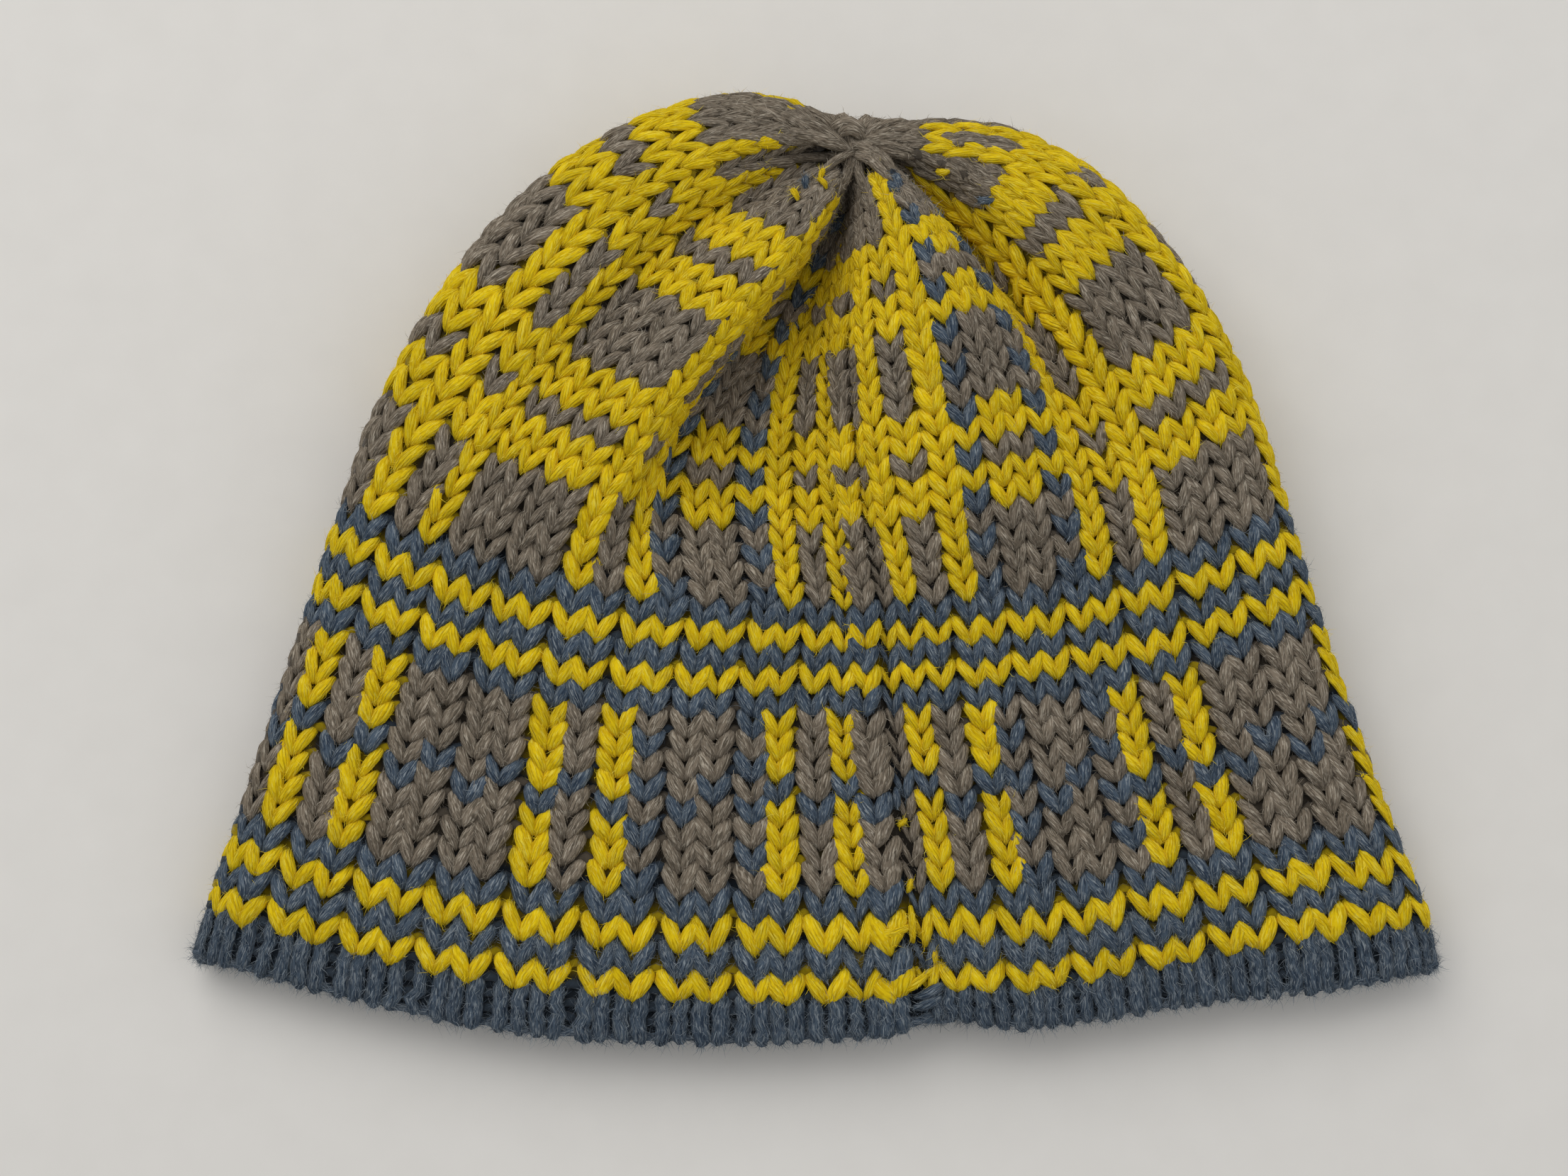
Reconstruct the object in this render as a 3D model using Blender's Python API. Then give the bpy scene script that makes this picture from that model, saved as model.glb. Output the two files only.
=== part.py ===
"""Knit hat lying flat on its front with the back seam up: a ribbed tube drawn in at the crown."""

import math

import bpy
import numpy as np

# Lengths are in millimetres: X across the hat, Y from the hem to the crown, Z up from the
# surface that the hat lies on. Rows count up from the hem. Columns count round the hat, and
# column 0 is just right of the back seam.
MM = 0.001
COLUMNS = 68
BAND_ROWS = 20
ROWS = 42
CENTRE_X = -0.5
CENTRE_Y = 2.2

# The flattened band: the columns at its two side folds, and how square the folds are.
LEFT_FOLD = -19.5
RIGHT_FOLD = 15.3
SIDE_SQUARENESS = 14.0
FOLD_HEIGHT_SHARE = 0.5
UNDER_TUCK = 4.0
PRESSED_FLAT = 0.4

# Cross-sections of the band: half outlines at the folds and the seam, the row's line across the
# middle and how far it rises at each fold, the height of the upper layer, and how much the
# stitches crowd towards each fold.
SECTION_NAMES = (
    "row", "left_x", "right_x", "seam_x", "mid_y", "left_rise", "right_rise", "top_z",
    "left_spread", "right_spread", "bow",
)
SECTIONS = (
    (0.0, -134.0, 133.0, 25.0, -101.0, 19.0, 16.0, 14.0, 1.10, 1.14, 1.9),
    (3.0, -131.0, 131.0, 24.0, -92.0, 19.0, 15.5, 16.0, 1.10, 1.14, 2.0),
    (7.0, -124.0, 123.2, 21.5, -68.5, 17.5, 14.0, 19.0, 1.10, 1.14, 2.6),
    (15.0, -111.0, 109.0, 16.5, -31.0, 21.0, 19.5, 24.0, 1.12, 1.14, 2.6),
    (20.0, -103.0, 102.0, 14.5, -9.0, 24.0, 22.5, 27.0, 1.20, 1.12, 2.3),
)

# How far the columns of the upper side have slid along their rows: column, and slide in columns.
SLIDES = (
    (-34.0, 0.0), (-24.0, 0.1), (-21.0, 0.5), (-17.0, 0.45), (-12.0, 0.5), (-10.0, 0.45), (-5.0, 0.15),
    (-1.0, 0.0), (1.0, 0.05), (3.0, 0.3), (8.0, 0.1), (10.0, -0.1), (15.0, -0.3), (18.0, -0.3), (26.0, 0.0),
    (34.0, 0.0),
)

# The gather that the last row is drawn into, and, by column, how much wider the last rows stand
# apart than the first ones.
GATHER = (8.0, 91.0, 27.0)
GATHER_RING = 6.0
ROW_DRIFTS = (
    (-34.0, 0.03), (-21.0, 0.0), (-10.0, -0.005), (6.0, 0.0), (10.0, 0.045), (18.0, 0.05), (34.0, 0.03),
)

# Fold lines of the crown. Each is a curve from the band to the gather: the direction that it
# leaves the gather in and its place on the gather's ring (degrees), how far out and how high it
# stands there, and how far it runs on from the band, how far it leans and how high it stands.
FOLD_NAMES = ("column", "angle", "ring", "near", "near_z", "far", "far_x", "far_z")
FOLDS = (
    (-27.0, 116.0, 122.0, 37.0, 8.0, 52.0, -4.0, 0.0),
    (-23.0, 133.0, 138.0, 53.0, 25.0, 54.0, -12.0, 6.0),
    (-21.0, 150.0, 148.0, 54.3, 40.0, 53.5, -10.5, 18.0),
    (-20.0, 160.0, 156.0, 52.0, 42.8, 50.0, -4.0, 28.0),
    (-18.0, 178.5, 174.0, 45.0, 43.6, 43.0, 10.0, 38.0),
    (-17.0, 187.0, 184.0, 42.0, 42.0, 42.0, 13.0, 40.0),
    (-15.0, 204.0, 202.0, 34.0, 28.0, 42.0, 8.0, 42.0),
    (-13.0, 230.0, 220.0, 34.0, 43.0, 34.0, 5.5, 42.0),
    (-11.7, 251.0, 229.0, 34.0, 45.0, 31.0, 4.0, 42.0),
    (-10.6, 260.0, 235.0, 34.0, 38.0, 31.0, 1.0, 40.0),
    (-9.4, 258.0, 241.0, 34.0, 24.0, 34.0, -7.0, 32.0),
    (-8.0, 251.0, 246.0, 34.0, 13.0, 40.0, -20.0, 22.0),
    (-6.0, 250.0, 252.0, 34.0, 8.0, 46.0, -20.0, 18.0),
    (-4.0, 254.0, 258.0, 34.0, 10.0, 48.0, -14.0, 18.0),
    (-1.0, 266.0, 268.0, 32.0, 24.0, 48.0, -9.0, 28.0),
    (1.0, 273.0, 278.0, 30.0, 34.0, 42.0, -8.0, 34.0),
    (3.0, 294.0, 296.0, 26.0, 42.0, 38.0, -4.0, 38.0),
    (4.0, 312.0, 304.0, 26.0, 44.0, 36.0, -2.0, 40.0),
    (6.0, 322.0, 315.0, 34.0, 40.0, 33.0, -0.5, 39.0),
    (7.0, 325.0, 320.0, 38.0, 34.0, 32.0, 0.0, 38.0),
    (9.0, 324.0, 328.0, 42.0, 14.0, 32.0, 1.0, 34.0),
    (11.0, 335.0, 336.0, 51.0, 32.0, 32.0, 1.0, 38.0),
    (12.5, 342.0, 345.0, 56.0, 38.5, 33.0, 0.5, 35.0),
    (14.0, 349.7, 354.0, 60.0, 41.0, 34.0, 0.0, 31.0),
    (15.0, 356.5, 361.0, 62.3, 41.8, 40.0, 0.8, 25.0),
    (17.0, 372.0, 376.0, 62.0, 34.0, 50.0, 4.0, 16.0),
    (22.0, 402.0, 404.0, 38.0, 8.0, 52.0, 0.0, 0.0),
    (34.0, 450.0, 452.0, 22.0, 5.0, 50.0, 0.0, 0.0),
)
PATH_STEPS = 64

# The knitted wall, the groove between two ribs, the groove and notch of the back seam.
WALL = 4.0
GATHERED_WALL = 2.2
WALL_THINS_FROM = 27.0
LEAST_WALL = 1.4
TIGHT_SHARE = 0.45
RIB_COLUMNS = 2
RIB_GROOVE = 1.2
SEAM = -0.5
SEAM_GROOVE = 1.0
NOTCH_AT = 0.4
SEAM_NOTCH = 3.4
SEAM_NOTCH_COLUMNS = 1.8
SEAM_NOTCH_ROWS = 3.0
SLOPE_STEP = 0.5
FINE_COLUMNS = 3

# Pieces: the hem rib ends where the band starts, the band where the crown starts, and the
# gather fills the crown's ring.
HEM_ROWS = 3.0
HEM_EDGE_ROWS = 0.8
PIECE_GAP_ROWS = 0.06
CROWN_STRIPS = 17
BAND_STRIPS = 12
HEM_STRIPS = 3
HEM_EDGE_NAMES = ("row", "depth_share")
HEM_EDGE = ((0.25, 0.08), (0.0, 0.32), (0.0, 0.68), (0.25, 0.92))
PLUG_GAP = 0.8
PLUG_RISE = 2.4
PLUG_DROP = 1.2
PLUG_LOBES = 9
PLUG_LOBE_DEPTH = 0.8
PLUG_SIDES = 36
PLUG_RINGS = 4

MATERIALS = {
    "crown_knit": ("striped_wool", (0.30, 0.26, 0.14, 1.0), 0.93),
    "band_knit": ("striped_wool", (0.30, 0.26, 0.14, 1.0), 0.93),
    "hem_rib": ("blue_wool", (0.065, 0.09, 0.155, 1.0), 0.94),
    "crown_gather": ("grey_wool", (0.17, 0.15, 0.14, 1.0), 0.95),
}


def curve_through(x, xs, ys):
    """A smooth curve through a table's values that doesn't overshoot them."""
    xs = np.asarray(xs, float)
    ys = np.asarray(ys, float)
    step = np.diff(xs)
    rise = np.diff(ys) / step
    slope = np.empty_like(ys)
    slope[0] = rise[0]
    slope[-1] = rise[-1]
    same = rise[:-1] * rise[1:] > 0
    mean = (step[1:] * rise[:-1] + step[:-1] * rise[1:]) / (step[1:] + step[:-1])
    limit = 3 * np.minimum(abs(rise[:-1]), abs(rise[1:]))
    slope[1:-1] = np.where(same, np.sign(mean) * np.minimum(abs(mean), limit), 0.0)
    i = np.clip(np.searchsorted(xs, x, side="right") - 1, 0, len(step) - 1)
    t = (x - xs[i]) / step[i]
    start = (1 + 2 * t) * (1 - t) ** 2 * ys[i] + t * (1 - t) ** 2 * step[i] * slope[i]
    end = t * t * (3 - 2 * t) * ys[i + 1] + t * t * (t - 1) * step[i] * slope[i + 1]
    return start + end


def section_at(row):
    table = np.array(SECTIONS)
    return {name: curve_through(row, table[:, 0], table[:, k]) for k, name in enumerate(SECTION_NAMES)}


def across(share):
    """How far out a stitch lies, from 0 at the middle to 1 at the fold that it turns round."""
    return share * (1 + (1 - abs(share) ** SIDE_SQUARENESS) / SIDE_SQUARENESS)


def dome(share):
    return np.sqrt(np.maximum(0.0, 1 - abs(share) ** SIDE_SQUARENESS))


def band_point(column, row):
    """Points of the band's outer surface, for arrays of columns and rows."""
    s = section_at(row)
    column = (column + COLUMNS / 2) % COLUMNS - COLUMNS / 2
    column = column + np.interp(column, *zip(*SLIDES))
    column = (column - LEFT_FOLD) % COLUMNS + LEFT_FOLD
    left = np.clip(column / LEFT_FOLD, 0, 1)
    right = np.clip(column / RIGHT_FOLD, 0, 1)
    under = np.clip(1 - 2 * (column - RIGHT_FOLD) / (COLUMNS + LEFT_FOLD - RIGHT_FOLD), -1, 1)
    upper = column <= RIGHT_FOLD
    upper_x = s["seam_x"] + (s["left_x"] - s["seam_x"]) * across(left ** s["left_spread"])
    upper_x = upper_x + (s["right_x"] - s["seam_x"]) * across(right ** s["right_spread"])
    middle = (s["left_x"] + s["right_x"]) / 2
    under_x = middle + (s["right_x"] - s["left_x"]) / 2 * across(under)
    x = np.where(upper, upper_x, under_x)
    fold_z = FOLD_HEIGHT_SHARE * s["top_z"]
    upper_z = fold_z + (s["top_z"] - fold_z) * dome(np.maximum(left, right))
    under_z = np.maximum(0.0, fold_z - (fold_z + PRESSED_FLAT) * dome(under))
    z = np.where(upper, upper_z, under_z)
    left_bow = s["left_rise"] * abs(x / s["left_x"]) ** s["bow"]
    right_bow = s["right_rise"] * abs(x / s["right_x"]) ** s["bow"]
    tuck = np.where(upper, 0.0, UNDER_TUCK * (1 - under**2))
    notch = SEAM_NOTCH * np.exp(-(((column - NOTCH_AT) / SEAM_NOTCH_COLUMNS) ** 2) - row / SEAM_NOTCH_ROWS)
    y = s["mid_y"] + np.where(x < 0, left_bow, right_bow) + tuck + notch
    return np.stack([x, y, z], -1)


def fold_at(column):
    table = np.array(FOLDS)
    turn = np.array([COLUMNS, 360, 360, 0, 0, 0, 0, 0])
    table = np.concatenate([table - turn, table, table + turn])
    column = (column + COLUMNS / 2) % COLUMNS - COLUMNS / 2
    table = table[np.argsort(table[:, 0])]
    return {name: curve_through(column, table[:, 0], table[:, k]) for k, name in enumerate(FOLD_NAMES)}


def round_gather(angle, distance, z):
    angle = np.radians(angle)
    return np.stack([GATHER[0] + distance * np.cos(angle), GATHER[1] + distance * np.sin(angle), z], -1)


def crown_points(column, share):
    """Points of the crown's outer surface: a line of them to the gather for each column."""
    fold = fold_at(column)
    start = band_point(column, np.full_like(column, BAND_ROWS))
    run = start - band_point(column, np.full_like(column, BAND_ROWS - 1))
    run[:, 2] = 0
    run /= np.linalg.norm(run, axis=1)[:, None]
    far = start + run * fold["far"][:, None]
    far[:, 0] += fold["far_x"]
    far[:, 2] = fold["far_z"]
    near = round_gather(fold["angle"], fold["near"], fold["near_z"])
    end = round_gather(fold["ring"], GATHER_RING, np.full_like(column, GATHER[2]))
    t = np.linspace(0, 1, PATH_STEPS + 1)
    weights = np.stack([(1 - t) ** 3, 3 * t * (1 - t) ** 2, 3 * t * t * (1 - t), t**3])
    path = np.einsum("kt,knd->ntd", weights, np.stack([start, far, near, end]))
    path[..., 2] = np.maximum(path[..., 2], 0.0)
    drift = np.interp((column + COLUMNS / 2) % COLUMNS - COLUMNS / 2, *zip(*ROW_DRIFTS))
    points = np.empty((len(column), len(share), 3))
    for line, out, slack in zip(path, points, drift):
        length = np.concatenate([[0.0], np.cumsum(np.linalg.norm(np.diff(line, axis=0), axis=1))])
        at = (share - slack * np.sin(np.pi * share)) * length[-1]
        for axis in range(3):
            out[:, axis] = np.interp(at, length, line[:, axis])
    return points


def surface(column, row):
    """The outer surface as a grid of points, columns by rows."""
    low = row[row <= BAND_ROWS]
    high = row[row > BAND_ROWS]
    columns, rows = np.meshgrid(column, low, indexing="ij")
    band = band_point(columns, rows)
    crown = crown_points(column, (high - BAND_ROWS) / (ROWS - BAND_ROWS))
    return np.concatenate([band, crown], axis=1)


def outward(column, row):
    """Unit normals of the outer surface, from the slopes between nearby columns and rows."""
    before = np.maximum(row - SLOPE_STEP, 0.0)
    after = np.minimum(row + SLOPE_STEP, ROWS)
    along = surface(column, after) - surface(column, before)
    around = surface(column + SLOPE_STEP, row) - surface(column - SLOPE_STEP, row)
    normal = np.cross(around, along)
    return normal / np.linalg.norm(normal, axis=2, keepdims=True)


def wall_at(row, points, normals):
    """How thick the wall is: less towards the gather, and less where a fold squeezes its inside."""
    thinned = np.clip((row - WALL_THINS_FROM) / (ROWS - WALL_THINS_FROM), 0, 1)
    plain = WALL + (GATHERED_WALL - WALL) * thinned
    step = np.roll(points, -1, axis=0) - np.roll(points, 1, axis=0)
    turn = np.roll(normals, -1, axis=0) - np.roll(normals, 1, axis=0)
    bend = (step * turn).sum(axis=2) / (step * step).sum(axis=2)
    folded = np.clip(TIGHT_SHARE / np.maximum(bend, 1 / WALL / 100), LEAST_WALL, plain[None, :])
    beside = np.minimum(np.roll(folded, 1, axis=0), np.roll(folded, -1, axis=0))
    return (folded + np.minimum(folded, beside)) / 2


def ribbed(column, row, points, normals):
    """The outer surface with the grooves between its ribs and along its seam pressed in."""
    rib = (1 + np.cos(2 * math.pi * (column - SEAM - RIB_COLUMNS / 2) / RIB_COLUMNS)) / 2
    seam = np.exp(-(((column - SEAM) / 1.0) ** 2))
    fading = 1 - np.clip((row - WALL_THINS_FROM) / (ROWS - WALL_THINS_FROM), 0, 1)
    depth = (RIB_GROOVE * rib + SEAM_GROOVE * seam)[:, None] * fading[None, :]
    lifted = np.clip(points[..., 2] / WALL, 0, 1)
    return points - normals * (depth * lifted)[..., None]


def columns_round():
    """Columns to set points at: one at each rib and groove, and more round the two side folds."""
    halves = SEAM + np.arange(2 * COLUMNS) / 2
    whole = np.arange(2 * COLUMNS) % 2 == 0
    near_fold = np.zeros(2 * COLUMNS, bool)
    for fold in (LEFT_FOLD, RIGHT_FOLD):
        away = (halves - fold + COLUMNS / 2) % COLUMNS - COLUMNS / 2
        near_fold |= abs(away) <= FINE_COLUMNS
    return halves[whole | near_fold]


def tube(rows, edge):
    """Rings of points down the outside of a knitted tube, round its edge and up the inside."""
    columns = columns_round()
    points = surface(columns, rows)
    normals = outward(columns, rows)
    outside = ribbed(columns, rows, points, normals)
    inside = points - normals * wall_at(rows, points, normals)[..., None]
    rings = [outside[:, k] for k in reversed(range(len(rows)))]
    for row, depth_share in edge:
        at = np.array([row])
        rim = surface(columns, at)
        facing = outward(columns, at)
        depth = depth_share * wall_at(at, rim, facing)[..., None]
        rings.append((rim - facing * depth)[:, 0])
    rings += [inside[:, k] for k in range(len(rows))]
    return np.stack(rings)


def ring_faces(rings, around):
    """Triangles joining closed rings of points, and the last ring to the first."""
    faces = []
    for k in range(rings):
        here = k * around
        there = (k + 1) % rings * around
        for i in range(around):
            j = (i + 1) % around
            faces.append((here + i, there + i, there + j))
            faces.append((here + i, there + j, here + j))
    return faces


def add_piece(name, points, faces):
    label, colour, roughness = MATERIALS[name]
    points = (np.asarray(points) - np.array([CENTRE_X, CENTRE_Y, 0.0])) * MM
    mesh = bpy.data.meshes.new(name)
    mesh.from_pydata(points.tolist(), [], faces)
    material = bpy.data.materials.new(label)
    material.use_nodes = True
    shader = material.node_tree.nodes["Principled BSDF"]
    shader.inputs["Base Color"].default_value = colour
    shader.inputs["Roughness"].default_value = roughness
    mesh.materials.append(material)
    bpy.context.collection.objects.link(bpy.data.objects.new(name, mesh))


def add_tube(name, rows, edge):
    rings = tube(rows, edge)
    add_piece(name, rings.reshape(-1, 3), ring_faces(*rings.shape[:2]))


def add_gather():
    """The drawn-in last stitches: a low lobed button that fills the ring of the crown."""
    points = [(GATHER[0], GATHER[1], GATHER[2] + PLUG_RISE)]
    rings = [(k / PLUG_RINGS, 1.0) for k in range(1, PLUG_RINGS + 1)]
    rings += [(k / PLUG_RINGS, -1.0) for k in range(PLUG_RINGS, 0, -1)]
    for share, side in rings:
        for i in range(PLUG_SIDES):
            angle = 2 * math.pi * i / PLUG_SIDES
            lobe = PLUG_LOBE_DEPTH * share * (1 - math.cos(PLUG_LOBES * angle)) / 2
            distance = (GATHER_RING - PLUG_GAP) * share - lobe * (share == 1.0)
            swell = math.sqrt(1 - (0.9 * share) ** 2)
            z = PLUG_RISE * swell - lobe / 2 if side > 0 else -PLUG_DROP * swell
            points.append((
                GATHER[0] + distance * math.cos(angle),
                GATHER[1] + distance * math.sin(angle),
                GATHER[2] + z,
            ))
    points.append((GATHER[0], GATHER[1], GATHER[2] - PLUG_DROP))
    last = len(points) - 1
    faces = []
    for i in range(PLUG_SIDES):
        j = (i + 1) % PLUG_SIDES
        faces.append((0, 1 + i, 1 + j))
        for k in range(len(rings) - 1):
            here = 1 + k * PLUG_SIDES
            there = here + PLUG_SIDES
            faces.append((here + i, there + i, there + j))
            faces.append((here + i, there + j, here + j))
        end = 1 + (len(rings) - 1) * PLUG_SIDES
        faces.append((last, end + j, end + i))
    add_piece("crown_gather", points, faces)


for leftover in list(bpy.data.objects):
    bpy.data.objects.remove(leftover)

half_gap = PIECE_GAP_ROWS / 2
crown_rows = np.linspace(BAND_ROWS + half_gap, ROWS, CROWN_STRIPS + 1)
band_rows = np.linspace(HEM_ROWS + half_gap, BAND_ROWS - half_gap, BAND_STRIPS + 1)
hem_rows = np.linspace(HEM_EDGE_ROWS, HEM_ROWS - half_gap, HEM_STRIPS + 1)
add_tube("crown_knit", crown_rows, ())
add_tube("band_knit", band_rows, ())
add_tube("hem_rib", hem_rows, HEM_EDGE)
add_gather()
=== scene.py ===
"""Look of the knit hat: plied wool stitches, ribs, seam and fuzz on the folded form of the hat."""

import math

import bpy
import numpy as np
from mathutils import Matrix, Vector


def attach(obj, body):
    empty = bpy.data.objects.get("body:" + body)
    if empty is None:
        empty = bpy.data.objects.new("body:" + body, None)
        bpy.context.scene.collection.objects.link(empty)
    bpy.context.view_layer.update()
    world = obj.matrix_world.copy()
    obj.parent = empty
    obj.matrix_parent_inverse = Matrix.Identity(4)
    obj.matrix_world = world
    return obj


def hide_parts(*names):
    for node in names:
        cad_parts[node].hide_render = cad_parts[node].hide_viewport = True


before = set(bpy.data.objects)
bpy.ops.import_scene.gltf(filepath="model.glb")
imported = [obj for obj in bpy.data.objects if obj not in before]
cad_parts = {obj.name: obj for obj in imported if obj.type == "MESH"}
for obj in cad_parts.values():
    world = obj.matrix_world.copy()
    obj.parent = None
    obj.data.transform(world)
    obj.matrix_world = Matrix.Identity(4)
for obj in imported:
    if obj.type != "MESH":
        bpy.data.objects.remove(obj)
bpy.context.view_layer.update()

# Lengths are in millimetres: X across the hat, Y from the hem to the crown, Z up from the
# surface that the hat lies on. Rows count up from the hem. Columns count round the hat, and
# column 0 is just right of the back seam.
MM = 0.001
COLUMNS = 68
BAND_ROWS = 20
ROWS = 42
CENTRE_X = -0.5
CENTRE_Y = 2.2

# The flattened band: the columns at its two side folds, how many more show round them, and how
# square the folds are.
LEFT_FOLD = -19.5
RIGHT_FOLD = 15.3
ROUND_FOLD = 3
SIDE_SQUARENESS = 14.0
FOLD_HEIGHT_SHARE = 0.5
UNDER_TUCK = 4.0
PRESSED_FLAT = 0.4

# Cross-sections of the band: half outlines at the folds and the seam, the row's line across the
# middle and how far it rises at each fold, the height of the upper layer, and how much the
# stitches crowd towards each fold.
SECTION_NAMES = (
    "row", "left_x", "right_x", "seam_x", "mid_y", "left_rise", "right_rise", "top_z",
    "left_spread", "right_spread", "bow",
)
SECTIONS = (
    (0, -134, 133, 25, -101, 19, 16, 14, 1.10, 1.14, 1.9),
    (3, -131, 131, 24, -90.6, 19, 15.5, 16, 1.10, 1.14, 2),
    (7, -124, 123.2, 21.5, -68.5, 17.5, 14, 19, 1.10, 1.14, 2.6),
    (15, -111, 109, 16.5, -31, 21, 19.5, 24, 1.12, 1.14, 2.6),
    (20, -103, 102, 14.5, -9, 24, 22.5, 27, 1.20, 1.12, 2.3),
)

# How far the columns of the upper side have slid along their rows: column, and slide in columns
# in the low rows and at the band's top.
SLIDES = (
    (-34, 0, 0), (-24, 0.1, 0.1), (-21, 0.5, 0.5), (-17, 0.45, 0.45),
    (-12, 0, -0.4), (-10, -0.05, -0.3), (-5, -0.1, -0.15), (-3, -0.2, -0.2),
    (-1, 0, 0), (1, 0.05, 0.05), (3, 0.3, 0.3), (8, 0.1, 0.1), (10, -0.1, -0.1),
    (15, -0.3, -0.3), (18, -0.3, -0.3), (26, 0, 0), (34, 0, 0),
)
SLIDE_ROWS = (12, 20)

# How far the band's rows stray up or down from their even bow: places across the hat, and the
# strays of some rows at these places.
STRAY_X = (-134, -95, -75, -55, -35, 0, 24, 45, 62, 76, 90, 105, 118, 131)
STRAYS = {
    0: (-0.5, -1.8, -2.6, -2.5, -1.5, 0, 0, 0.4, 1.2, 1.8, 1.6, 0.5, -0.2, 0),
    3: (0, -1.3, -2.3, -2.1, -1.6, -1.2, -0.5, -0.8, 0.6, 1.9, 2.3, 2.6, 1.5, 0.3),
    5: (0, -0.3, -0.6, -1.8, -1.2, -0.6, 0, 0, 1.9, 2.4, 3.3, 3.4, 1, 0),
    8: (0, -0.8, -1, -1, -1.5, -0.5, 0, 0, 1, 1.8, 2, 1.5, 0.7, 0),
    12: (0, -0.5, -2, -2, -1.5, -0.5, 0, 0, 0, 0.5, 0.5, 0.3, 0, 0),
    16: (0, 0, -1, -2, -1.3, -0.5, 0, 0, 0, 0, 0, 0, 0, 0),
    20: (0,) * len(STRAY_X),
}

# The gather that the last row is drawn into, and, by column, how much wider the last rows stand
# apart than the first ones.
GATHER = (8.0, 91.0, 27.0)
GATHER_RING = 6.0
ROW_DRIFTS = (
    (-34, 0.03), (-21, 0), (-10, -0.005), (6, 0), (10, 0.045), (18, 0.05), (34, 0.03),
)

# Fold lines of the crown. Each is a curve from the band to the gather: its place on the gather's
# ring (degrees) and how high it ends there, the direction that it leaves the gather in and how
# far out and how high it stands there, and how far it runs on from the band, how far it leans
# and how high it stands.
FOLD_NAMES = ("column", "ring", "ring_z", "angle", "near", "near_z", "far", "far_x", "far_z")
FOLDS = (
    (-27, 122, 26, 116, 37, 8, 52, -4, 0),
    (-23, 143, 27.3, 133, 53, 25, 54, -12, 6),
    (-21, 159, 28.7, 150, 54.3, 40, 53.5, -10.5, 18),
    (-20, 169, 29, 160, 52, 42.8, 50, -4, 28),
    (-18, 187, 28, 178.5, 45, 43.6, 43, 10, 38),
    (-17, 192, 23, 187, 42, 42, 42, 13, 40),
    (-15, 202, 24, 204, 34, 28, 42, 8, 42),
    (-13, 230, 29, 230, 34, 43, 34, 3, 41),
    (-11.7, 254, 28, 251, 34, 45, 31, 1, 41),
    (-10.6, 263, 24, 260, 34, 38, 31, -2, 38),
    (-9.4, 264, 20, 258, 34, 24, 34, -10, 30),
    (-8, 265, 17, 251, 34, 13, 40, -20, 22),
    (-6, 265.5, 16, 250, 34, 8, 46, -20, 18),
    (-4, 266, 16, 254, 34, 10, 48, -14, 18),
    (-1, 268, 18, 266, 32, 24, 48, -9, 28),
    (1, 275, 23, 273, 30, 34, 42, -8, 34),
    (3, 302, 28, 294, 26, 42, 38, -4, 38),
    (4, 322, 29, 312, 26, 44, 36, -2, 40),
    (6, 342, 27, 322, 34, 40, 33, -0.5, 39),
    (7, 346, 23, 325, 38, 34, 32, 0, 38),
    (9, 349, 19, 324, 42, 14, 32, 1, 34),
    (11, 352, 24.5, 335, 51, 32, 32, 1, 38),
    (12.5, 357.5, 28, 342, 56, 38.5, 33, 0.5, 35),
    (14, 364, 28, 349.7, 60, 41, 34, 0, 31),
    (15, 369, 28, 356.5, 62.3, 41.8, 40, 0.8, 25),
    (17, 381, 27, 372, 62, 34, 50, 4, 16),
    (22, 404, 26, 402, 38, 8, 52, 0, 0),
    (34, 452, 25, 450, 22, 5, 50, 0, 0),
)
PATH_STEPS = 64

# The knitted wall, which thins towards the gather and where a fold squeezes it.
WALL = 4.0
GATHERED_WALL = 2.2
WALL_THINS_FROM = 27.0
LEAST_WALL = 1.4
TIGHT_SHARE = 0.45
LEAST_BEND = 1 / WALL / 100
SLOPE_STEP = 0.5

# The notch that the back seam draws into the hem: its column, depth and reach.
NOTCH_AT = 0.4
SEAM_NOTCH = 3.4
SEAM_NOTCH_COLUMNS = 1.8
SEAM_NOTCH_ROWS = 3.0


def unit(vectors):
    return vectors / np.maximum(np.linalg.norm(vectors, axis=-1, keepdims=True), 1e-9)


def wrapped(column):
    """The same column, counted from the back seam the shorter way round."""
    return (column + COLUMNS / 2) % COLUMNS - COLUMNS / 2


def flat_grid(first, second):
    """Every pair of two lists' values."""
    return (values.ravel() for values in np.meshgrid(first, second, indexing="ij"))


def run_length(lines):
    """How far along its own line each point lies."""
    steps = np.linalg.norm(np.diff(lines, axis=-2), axis=-1)
    return np.concatenate([np.zeros((*steps.shape[:-1], 1)), np.cumsum(steps, axis=-1)], axis=-1)


def bezier(t, corners):
    """Cubic curves: lines of points from the first corners to the last, drawn by the others."""
    weights = np.stack([(1 - t) ** 3, 3 * t * (1 - t) ** 2, 3 * t * t * (1 - t), t**3])
    return np.einsum("kt,knd->ntd", weights, np.stack(corners))


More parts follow.
